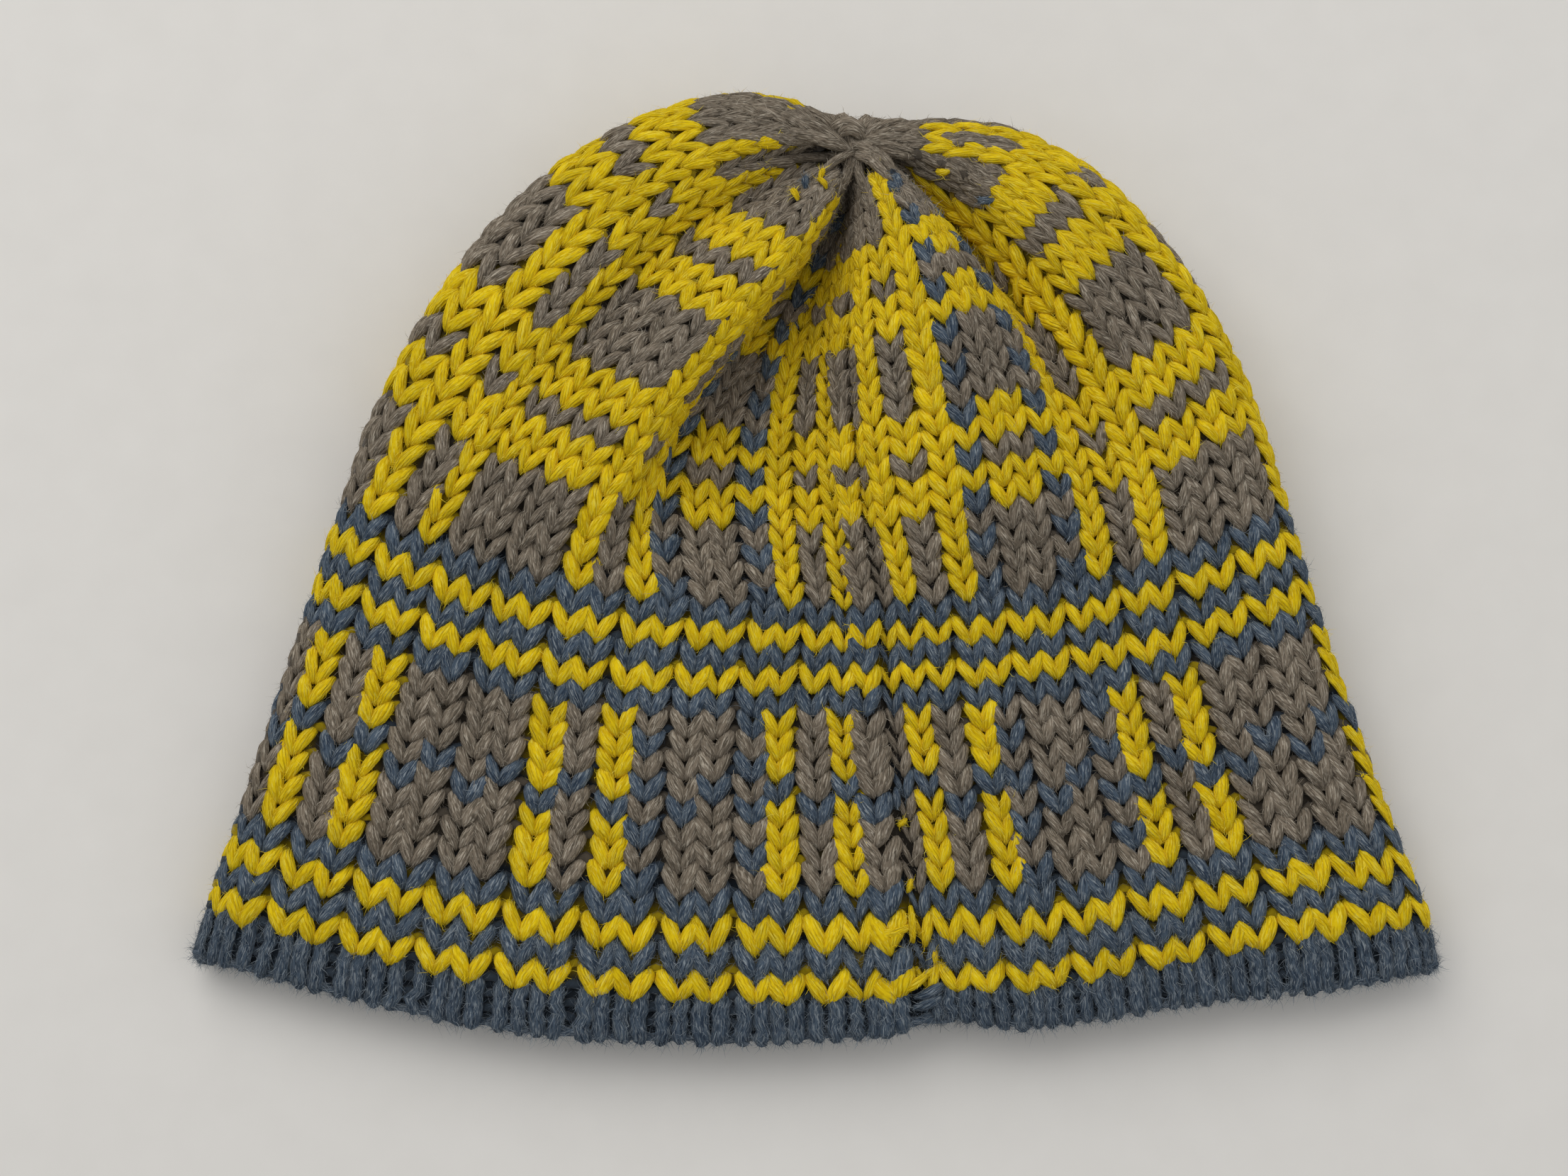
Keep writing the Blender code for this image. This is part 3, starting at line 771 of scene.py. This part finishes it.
def leg_strands(columns, rows, rings):
    """The two legs of each V stitch, as places on the hat, heights and half widths."""
    count = len(columns)

    def vary(amount):
        return amount * random.normal(0, 1, (2 * count, 1))

    side = np.repeat([[-1.0], [1.0]], count, axis=0)
    column = np.tile(columns, 2)[:, None].astype(float)
    row = np.tile(rows, 2)[:, None].astype(float)
    leg = np.where(row[..., None] < HEM_ROWS, np.array(HEM_LEG), np.array(LEG))[:, list(rings)]
    leg = dict(zip(LEG_NAMES, np.moveaxis(leg, -1, 0)))
    leg["row"] = leg["row"] * np.where((row == HEM_ROWS) & (leg["row"] < 0), LOWEST_FOOT, 1.0)
    seam_left = column % COLUMNS == COLUMNS - 1
    seam_right = column % COLUMNS == 0
    wobble = np.where(seam_left, SEAM_WOBBLE, 1.0)
    odd = np.where(column % 2 == 1, 1.0, -1.0)
    lean = odd * np.interp(row, *zip(*PAIR_LEANS))
    shift = lean + np.interp(wrapped(column), *zip(*SEAM_SHIFTS))
    shift = shift + wobble * vary(SHIFT_VARIES)
    girth = np.where(seam_left, SEAM_GIRTH, 1.0) * np.where(seam_right, SEAM_SIDE_GIRTH, 1.0)
    girth = girth * (1 + vary(GIRTH_VARIES))
    hidden = seam_right & (side < 0)
    girth = girth * np.where(hidden, HIDDEN_LEG_GIRTH, 1.0)
    girth = girth * np.where(column % COLUMNS == COLUMNS - 2, SQUEEZED_GIRTH, 1.0)
    sag = SEAM_SAG * np.exp(-(((row - SAG_ROW) / SAG_REACH) ** 2))
    at_row = row - np.where(seam_left, sag, 0.0) + wobble * vary(ROW_VARIES)
    at_row = at_row + leg["row"] * (1 + vary(LENGTH_VARIES))
    pitch = column_pitch(column + 0 * at_row, at_row)
    aside = side * leg["aside"] * (1 + vary(ASIDE_VARIES)) * np.where(seam_left, SEAM_SPREAD, 1.0)
    waves = HEM_WAVE * random.normal(0, 1, at_row.shape)
    aside = aside + np.where(row < HEM_ROWS, waves, 0.0)
    at_column = column + shift + aside * np.clip(NATURAL_PITCH / pitch, 1, MOST_WIDENED)
    sunk = np.clip(np.array(PLEAT_LIMITS)[(column % 4).astype(int)] - pitch, 0, 1)
    height = leg["depth"] - np.where(seam_right, SEAM_SIDE_DROP, 0.0)
    height = height - np.where(hidden, HIDDEN_LEG_DROP, 0.0) + vary(DEPTH_VARIES)
    height = height - PLEAT_DEPTH * sunk
    outer = np.maximum(0, -odd * side)
    height = height - PAIR_TILT * outer * np.linspace(0, 1, len(rings))
    half_width = np.clip(LEG_HALF_SHARE * pitch, LEG_HALF_MIN, LEG_HALF_MAX) * leg["width"] * girth
    wall = lookup(WALLS, at_column, at_row)[..., 0]
    half_thick = LEG_HALF_THICK * leg["width"] * girth * wall / WALL
    return at_column, at_row, height, half_width, half_thick


def on_back(column):
    """Whether a column is on the upper side or round its folds, and shows from above."""
    column = wrapped(column)
    return (column > LEFT_FOLD - ROUND_FOLD) & (column < RIGHT_FOLD + ROUND_FOLD)


def add_strands(name, yarn, part, frames, halves, sides, tone, turns=LEFT_TURNS, flatness=1.0):
    """Plied strands of one yarn, and a note of where they lie, for their fuzz."""
    middle, _, across, up = frames
    half_width, half_thick = halves
    strands_made.append((yarn, part, *frames, *halves))
    half_thick = half_thick * flatness
    arrays = strand_arrays(middle, across, up, half_width, half_thick, sides, tone, turns)
    return add_mesh(name, yarn_materials[yarn], *arrays)


def shaded(yarns, shade):
    """The plain colours of yarns, darkened by painted shade."""
    colours = PLAIN_COLOURS[yarns]
    colours[..., :3] *= shade
    return colours


strands_made = []
all_columns, all_rows = flat_grid(np.arange(COLUMNS), np.arange(ROWS))
in_chart = (all_rows == 0) | (all_rows >= HEM_ROWS)
all_columns, all_rows = all_columns[in_chart], all_rows[in_chart]
all_yarns = np.array([yarn_of(c, r) for c, r in zip(all_columns, all_rows)])
for yarn in yarn_materials:
    for part, chosen, rings, sides in (
        ("back", on_back(all_columns), range(len(LEG)), BACK_SIDES),
        ("front", ~on_back(all_columns), FRONT_RINGS, FRONT_SIDES),
    ):
        pick = chosen & (all_yarns == yarn)
        *places, half_width, half_thick = leg_strands(all_columns[pick], all_rows[pick], rings)
        frames = strand_frames(*places)
        tone = random.random(len(half_width))
        at_hem = np.tile(all_rows[pick], 2) < HEM_ROWS
        tone = np.where(at_hem, np.interp(tone, (0, 1), HEM_TONES), tone)
        turns = np.repeat([LEFT_TURNS, RIGHT_TURNS], len(tone) // 2)
        name = f"{YARNS[yarn][0]}_{part}"
        halves = (half_width, half_thick)
        piece = add_strands(name, yarn, part, frames, halves, sides, tone, turns)

# Short strands that arch across the columns: how wide they are, the row of their ends and how far
# they arch up from it, how deep they lie and how far they bulge, and how thick their ends are and
# how much thicker their middle. Purl bars lie low in the groove between each two ribs, in their
# yarns' colours darkened by painted shade. Cast-on loops, two to a column, close the foot of the
# hem. Then how much they vary by chance.
PURL_BAR = (0.66, 0.45, 0.30, -3.1, 0.5, 0.75, 0.45)
CAST_ON = (0.72, -0.24, 0.12, -3.0, 0.5, 0.6, 0.5)
ARCH_RINGS = 5
PURL_SIDES = 5
CAST_ON_SIDES = 6
PURL_FLATNESS = 0.85
# Painted shade: the share of their yarn's plain colour that the purl bars keep, for the groove's
# shade.
PURL_SHADE = 0.42
PURL_COLUMN_VARIES = 0.03
PURL_ROW_VARIES = 0.08
CAST_ON_ROW_VARIES = 0.06
CAST_ON_DEPTH_VARIES = 0.3
ARCH_HALF_VARIES = 0.12
s = np.linspace(0, 1, ARCH_RINGS)[None, :]
bow = np.sin(math.pi * s)


def arched(columns, rows, width, row, arch, depth, bulge, end, middle):
    """Columns, rows, depths and half widths of such strands, before they vary."""
    row = rows + row + arch * bow
    return columns + width * (s - 0.5), row, depth + bulge * bow, end + middle * bow


groove, bump_row = flat_grid(np.arange(0, COLUMNS, 2), np.arange(ROWS))
seen = on_back(groove)
groove, bump_row = groove[seen], bump_row[seen]
bar_yarns = np.array([yarn_of(g, r) for g, r in zip(groove, bump_row)])
each_bar = (len(groove), 1)
column, row, depth, half = arched(groove[:, None] + 0.5, bump_row[:, None], *PURL_BAR)
column = column + random.normal(0, PURL_COLUMN_VARIES, each_bar)
row = row + random.normal(0, PURL_ROW_VARIES, each_bar)
middle, _, across, up = strand_frames(column, row, depth + 0 * column)
half = half * (1 + random.normal(0, ARCH_HALF_VARIES, each_bar))
flat_half = half * PURL_FLATNESS
points, faces, _, _ = strand_arrays(middle, across, up, half, flat_half, PURL_SIDES, bar_yarns)
bar_colours = np.repeat(shaded(bar_yarns, PURL_SHADE), ARCH_RINGS * PURL_SIDES, axis=0)
bars = add_mesh("purl_bars", fabric_material, points, faces, colours=bar_colours)

edge = (np.arange(2 * COLUMNS) / 2)[:, None]
column, row, depth, half = arched(edge + 0.25, 0, *CAST_ON)
row = row + random.normal(0, CAST_ON_ROW_VARIES, edge.shape) + 0 * column
depth = depth + random.normal(0, CAST_ON_DEPTH_VARIES, edge.shape)
half = half * (1 + random.normal(0, ARCH_HALF_VARIES, edge.shape))
frames = strand_frames(column, row, depth)
tone = random.random(len(edge))
edge_loops = add_strands("cast_on_edge", BLUE, "edge", frames, (half, half), CAST_ON_SIDES, tone)

# The fabric behind the stitches: a thin wall that is open at the hem, in the stitches' colours
# with painted shade: dark behind the stitches, darker in the grooves, darkest along the seam, and
# only a little darker inside.
SHELL_FINENESS = 2
SHELL_FOOT = -0.30
SHELL_TOP = 0.68
SHELL_BOTTOM = 0.97
STITCH_REACH = 0.4
# Painted shade: the shares of the plain colour that the shell keeps behind the stitches, in the
# grooves, along the seam and inside.
SHELL_SHADE = 0.38
GROOVE_SHADE = 0.16
SEAM_SHADE = 0.09
INSIDE_SHADE = 0.8
SEAM_REACH = 0.5
shell_columns = np.arange(COLUMNS * SHELL_FINENESS) / SHELL_FINENESS
shell_rows = np.arange(1, ROWS * SHELL_FINENESS + 1) / SHELL_FINENESS
shell_rows = np.concatenate([[SHELL_FOOT], shell_rows])
column, row = np.meshgrid(shell_columns, shell_rows, indexing="ij")
outer = on_hat(column, row, np.full(column.shape, -WALL * SHELL_TOP))
inner = on_hat(column, row, np.full(column.shape, -WALL * SHELL_BOTTOM))
rings = np.concatenate([outer[:, ::-1], inner], axis=1)
around, levels = rings.shape[:2]
i, k = np.meshgrid(np.arange(around), np.arange(levels), indexing="ij")
here = i * levels
there = (i + 1) % around * levels
above = (k + 1) % levels
faces = np.stack([here + k, here + above, there + above, there + k], -1).reshape(-1, 4)
stitch_rows = np.clip(shell_rows - STITCH_REACH, 0, ROWS - 1).astype(int)
shell_yarns = np.array([[yarn_of(c + 0.5, r) for r in stitch_rows] for c in shell_columns])
in_groove = (shell_columns % 2 == 0.5)[:, None, None]
shell_shade = np.where(in_groove, GROOVE_SHADE, SHELL_SHADE)
shell_shade[abs(wrapped(shell_columns)) <= SEAM_REACH] = SEAM_SHADE
outer_colours = shaded(shell_yarns, shell_shade)[:, ::-1]
shell_colours = np.concatenate([outer_colours, shaded(shell_yarns, INSIDE_SHADE)], axis=1)
shell_points, shell_colours = rings.reshape(-1, 3), shell_colours.reshape(-1, 4)
fabric = add_mesh("knit_fabric", fabric_material, shell_points, faces, colours=shell_colours)
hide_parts("band_knit", "crown_knit")

# The gather: the columns that stand out run on as ropes, two to a column, that merge in a pinch
# under a knot of two loops.
ROPE_COLUMNS = (1, 3, 5, 7, 11, 15, 19, 26, 36, 45, 48, 50, 55.5, 57.5, 63, 67)
ROPE_ASIDE = 1.2
ROPE_ASIDE_VARIES = 0.45
ROPE_ROWS = (40.5, 41.0, 41.5, 42.0)
ROPE_HEIGHTS = (-2.8, -1.2, -0.3, -0.2)
ROPE_HEIGHT_VARIES = 0.35
ROPE_RINGS = 10
ROPE_SIDES = 8
ROPE_HALF = 1.3
ROPE_HALF_VARIES = 0.14
ROPE_END_SHARE = 0.3
ROPE_SWELL = 0.7
ROPE_SKEW = 0.9
ROPE_BLUNTNESS = 0.5
ROPE_FLATNESS = 0.95
LEAVING = 1.8
ARRIVING = (0.0, 0.0, 2.2)
ARRIVING_SHARE = 0.15
PINCH = (7.6, 90.3, 24.4)
PINCH_SPREAD = (1.1, 1.1, 0.5)
KNOT = (
    ((2.6, 94.2, 25.5), (4.4, 95.2, 28), (6.8, 95.6, 29.2), (9.2, 94.6, 28.8), (11.2, 93, 25.5)),
    (
        (4.4, 92.6, 25.5), (5.9, 93.9, 28.4), (7.6, 94.1, 29.2), (9.4, 93.2, 28.2),
        (10.8, 91.8, 25.5),
    ),
)
ropes = np.add.outer(ROPE_COLUMNS, (-ROPE_ASIDE, ROPE_ASIDE)).reshape(-1, 1)
ropes = ropes + random.normal(0, ROPE_ASIDE_VARIES, ropes.shape)
rope_rows = ROPE_ROWS + 0 * ropes
rope_heights = ROPE_HEIGHTS + random.normal(0, ROPE_HEIGHT_VARIES, ropes.shape)
start = on_hat(ropes + 0 * rope_rows, rope_rows, rope_heights)
leave = start[:, -1] + unit(start[:, -1] - start[:, -2]) * LEAVING
end = PINCH + random.normal(0, 1, (len(ropes), 3)) * PINCH_SPREAD
arrive = end + ARRIVING + ARRIVING_SHARE * (start[:, -1] - end)
t = np.linspace(0, 1, ROPE_RINGS - len(ROPE_ROWS) + 1)[1:]
middle = np.concatenate([start, bezier(t, [start[:, -1], leave, arrive, end])], axis=1)
steps = np.linspace(0, len(KNOT[0]) - 1, ROPE_RINGS)
knot = [[np.interp(steps, range(len(loop)), axis) for axis in zip(*loop)] for loop in KNOT]
middle = np.concatenate([middle, np.moveaxis(knot, 1, 2)])
along = unit(np.gradient(middle, axis=1))
across = unit(np.cross(along, (0.0, 0.0, 1.0)))
frames = (middle, along, across, np.cross(across, along))
s = np.linspace(0, 1, ROPE_RINGS)[None, :]
half = ROPE_HALF * (1 + random.normal(0, ROPE_HALF_VARIES, (len(middle), 1)))
half = half * (ROPE_END_SHARE + ROPE_SWELL * np.sin(math.pi * s**ROPE_SKEW) ** ROPE_BLUNTNESS)
turns = np.resize([LEFT_TURNS, RIGHT_TURNS], len(middle))
gather = add_strands("gathered_stitches", GREY, "back", frames, (half, half), ROPE_SIDES,
                     random.random(len(middle)), turns, ROPE_FLATNESS)
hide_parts("crown_gather")

# Stray bits of yarn, from one place to another on the hat: floats that show near the gather, and
# the untidy yarn along the seam. Column and row of both ends, yarn, half width and height.
BITS = (
    (-13.2, 41.3, -12.8, 40.7, YELLOW, 0.7, 1.2),
    (-12.9, 40.7, -12.2, 40.5, YELLOW, 0.7, 1.2),
    (-13.6, 40.5, -13.1, 40, BLUE, 0.9, 1),
    (-13.5, 39.6, -12.9, 39.3, YELLOW, 0.8, 0.8),
    (11.7, 39.7, 12.1, 39.3, YELLOW, 0.9, 0.6),
    (11.3, 37.8, 11.8, 37.3, BLUE, 0.9, 0.4),
    (-1.7, 4.9, -0.5, 5.2, YELLOW, 1.2, -0.7),
    (-0.5, 4.6, -0.45, 5.9, YELLOW, 0.9, -1),
    (-1.1, 2.5, -0.1, 3.3, YELLOW, 1.1, -0.6),
    (-0.4, 3.1, 0.2, 3.5, YELLOW, 0.9, -1.3),
    (0.25, 3.6, 0.3, 4.3, YELLOW, 0.8, -1.2),
    (-0.6, 1.9, 0.5, 2.6, BLUE, 1.2, -0.8),
    (-0.7, 1, 0.4, 1.7, BLUE, 1.3, -1),
    (-0.5, 10, -0.45, 10.9, BLUE, 0.9, -1.4),
    (-0.55, 9.2, -0.2, 9.5, YELLOW, 0.7, -1.8),
    (-0.5, 6.4, -0.3, 7, YELLOW, 0.7, -1.8),
)
BIT_RINGS = 6
BIT_SIDES = 7
BIT_DIP = 1.6
BIT_END_SHARE = 0.55
BIT_SWELL = 0.45
s = np.linspace(0, 1, BIT_RINGS)[None, :]
for yarn in (YELLOW, BLUE):
    bits = np.array([bit for bit in BITS if bit[4] == yarn], float)[:, :, None]
    column = bits[:, 0] + (bits[:, 2] - bits[:, 0]) * s
    row = bits[:, 1] + (bits[:, 3] - bits[:, 1]) * s
    frames = strand_frames(column, row, bits[:, 6] - BIT_DIP * (2 * s - 1) ** 4)
    half = bits[:, 5] * (BIT_END_SHARE + BIT_SWELL * np.sin(math.pi * s))
    name = f"{YARNS[yarn][0]}_bits"
    tone = random.random(len(bits))
    piece = add_strands(name, yarn, "back", frames, (half, half), BIT_SIDES, tone)

# Fuzz: fibres that stand a little off the yarn and lie along it, and long ones at the hem.
HAIRS = {YELLOW: 46000, GREY: 42000, BLUE: 32000}
HEM_HAIRS = 24000
EDGE_HAIRS = 6000
FRONT_SHARE = 0.12
HEM_FRONT_SHARE = 0.3
HEM_TOP_Y = -79.2
HAIR_LENGTH = (0.9, 2.6)
HEM_HAIR_LENGTH = (1.0, 3.2)
EDGE_HAIR_LENGTH = (1.6, 4.4)
HAIR_HALF_WIDTH = 0.042
HAIR_TAPER = 0.8
HAIR_POINTS = 5
HAIR_FACES = ((0, 1, 3), (0, 3, 2), (2, 3, 4))

# How far under the upper half of a strand hairs start, and how deep in it, how far they stray from
# it and stand off it, how far they bend, droop and twist, and how few are pale.
HAIR_UNDER = 0.2
HAIR_ROOT = 0.12
HAIR_STRAY = 0.45
HAIR_LIFT = (0.1, 1.0)
HAIR_BEND = 0.45
HAIR_DROOP = (0.0, 0.5)
HAIR_TWIST = 0.3
PALE_RARITY = 1.5


def hairs(middle, along, across, up, half_width, half_thick, count, lengths):
    """Tapered, bent ribbons that start on the strands' upper side."""
    strand = random.integers(0, len(middle), count)
    at = (strand, random.integers(1, middle.shape[1] - 1, count))
    turn = random.uniform(-HAIR_UNDER, math.pi + HAIR_UNDER, count)[:, None]
    sideways, upward = across[at] * np.cos(turn), up[at] * np.sin(turn)
    out = sideways + upward
    start = middle[at] + sideways * half_width[at][:, None]
    start = start + upward * half_thick[at][:, None] - HAIR_ROOT * out
    ahead = along[at] * random.choice([-1.0, 1.0], count)[:, None]
    aim = ahead + HAIR_STRAY * random.normal(0, 1, (count, 3))
    aim = unit(aim + out * random.uniform(*HAIR_LIFT, (count, 1)))
    bend = HAIR_BEND * random.normal(0, 1, (count, 3))
    bend = bend - out * random.uniform(*HAIR_DROOP, (count, 1))
    length = random.uniform(*lengths, (count, 1))
    halfway = start + aim * length * 0.5
    tip = start + (aim + 0.5 * bend) * length
    flat = unit(np.cross(aim, out + HAIR_TWIST * random.normal(0, 1, (count, 3))))
    flat = flat * HAIR_HALF_WIDTH
    narrow = HAIR_TAPER * flat
    points = [start - flat, start + flat, halfway - narrow, halfway + narrow, tip]
    faces = np.array([HAIR_FACES]) + (np.arange(count) * HAIR_POINTS)[:, None, None]
    return np.stack(points, axis=1).reshape(-1, 3), faces.reshape(-1, 3)


for yarn in yarn_materials:
    groups = []
    made_of_it = [made for made in strands_made if made[0] == yarn and made[1] != "edge"]
    back_strands = sum(len(made[2]) for made in made_of_it if made[1] == "back")
    for _, part, *frames in made_of_it:
        at_front = part == "front"
        share = FRONT_SHARE if at_front else (1 - FRONT_SHARE) * len(frames[0]) / back_strands
        groups.append((frames, round(HAIRS[yarn] * share), HAIR_LENGTH))
        if yarn == BLUE and len(frames[0]) > COLUMNS:
            share = HEM_FRONT_SHARE if at_front else 1 - HEM_FRONT_SHARE
            at_hem = frames[0][:, 2, 1] < HEM_TOP_Y
            frames = [values[at_hem] for values in frames]
            groups.append((frames, round(HEM_HAIRS * share), HEM_HAIR_LENGTH))
    for _, part, *frames in strands_made:
        if yarn == BLUE and part == "edge":
            groups.append((frames, EDGE_HAIRS, EDGE_HAIR_LENGTH))
    points, faces, before = [], [], 0
    for frames, count, lengths in groups:
        some, some_faces = hairs(*frames, count, lengths)
        points.append(some)
        faces.append(some_faces + before)
        before += len(some)
    plain, pale = (np.array(YARNS[yarn][k]) for k in (PLAIN_FIBRE, PALE_FIBRE))
    blend = random.random((before // HAIR_POINTS, 1)) ** PALE_RARITY
    colours = np.concatenate([plain + (pale - plain) * blend, np.ones_like(blend)], axis=1)
    fuzz = add_mesh(f"{YARNS[yarn][0]}_fuzz", fuzz_material, np.concatenate(points),
                    np.concatenate(faces), colours=np.repeat(colours, HAIR_POINTS, axis=0))

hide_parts("hem_rib")

# The floor's corners, the lights' places, sizes, powers and colours, the room's light, and the
# camera, in metres.
FLOOR_CORNERS = ((-3, -3, 0), (3, -3, 0), (3, 3, 0), (-3, 3, 0))
FLOOR_COLOURS = ((0.80, 0.775, 0.735, 1.0), (0.85, 0.825, 0.785, 1.0))
KEY_LIGHT = ((-0.65, 0.95, 1.25), 1.6, 13.9, (1.0, 0.99, 0.97))
FILL_LIGHT = ((1.2, 0.2, 1.3), 1.8, 4.0, (0.97, 0.985, 1.0))
ROOM_COLOUR = (0.98, 0.99, 1.0, 1.0)
ROOM_STRENGTH = 0.44
CAMERA_TARGET = (-0.0066, -0.0065, 0.010)
CAMERA_DISTANCE = 0.600
CAMERA_ELEVATION = 80.0
CAMERA_LENS = 63.0
CAMERA_SENSOR = 36.0

floor_mesh = bpy.data.meshes.new("floor")
floor_mesh.from_pydata(FLOOR_CORNERS, [], [(0, 1, 2, 3)])
floor = add_object("floor", floor_mesh)
n = Nodes("pale_table")
speck = n.noise(n.put("ShaderNodeTexCoord").outputs["Object"], 90.0, 4.0)
n.set_shader(n.mix(speck, *FLOOR_COLOURS), Roughness=0.8, Specular_IOR_Level=0.2)
floor_mesh.materials.append(n.material)


def add_aimed(name, data, place, toward):
    """A light or camera at a place, turned to face along a direction."""
    aimed = add_object(name, data)
    aimed.location = place
    aimed.rotation_mode = "QUATERNION"
    aimed.rotation_quaternion = toward.to_track_quat("-Z", "Y")
    return aimed


def add_light(name, place, size, power, colour):
    data = bpy.data.lights.new(name, "AREA")
    data.size = size
    data.energy = power
    data.color = colour
    return add_aimed(name, data, place, -Vector(place))


key = add_light("window", *KEY_LIGHT)
fill = add_light("fill", *FILL_LIGHT)
world = bpy.data.worlds.new("room")
world.use_nodes = True
background = world.node_tree.nodes["Background"]
background.inputs["Color"].default_value = ROOM_COLOUR
background.inputs["Strength"].default_value = ROOM_STRENGTH
bpy.context.scene.world = world
bpy.context.scene.view_settings.view_transform = "Standard"

camera_data = bpy.data.cameras.new("camera")
camera_data.lens = CAMERA_LENS
camera_data.sensor_width = CAMERA_SENSOR
elevation = math.radians(CAMERA_ELEVATION)
back = Vector((0.0, -math.cos(elevation), math.sin(elevation)))
place = Vector(CAMERA_TARGET) + back * CAMERA_DISTANCE
bpy.context.scene.camera = add_aimed("camera", camera_data, place, -back)
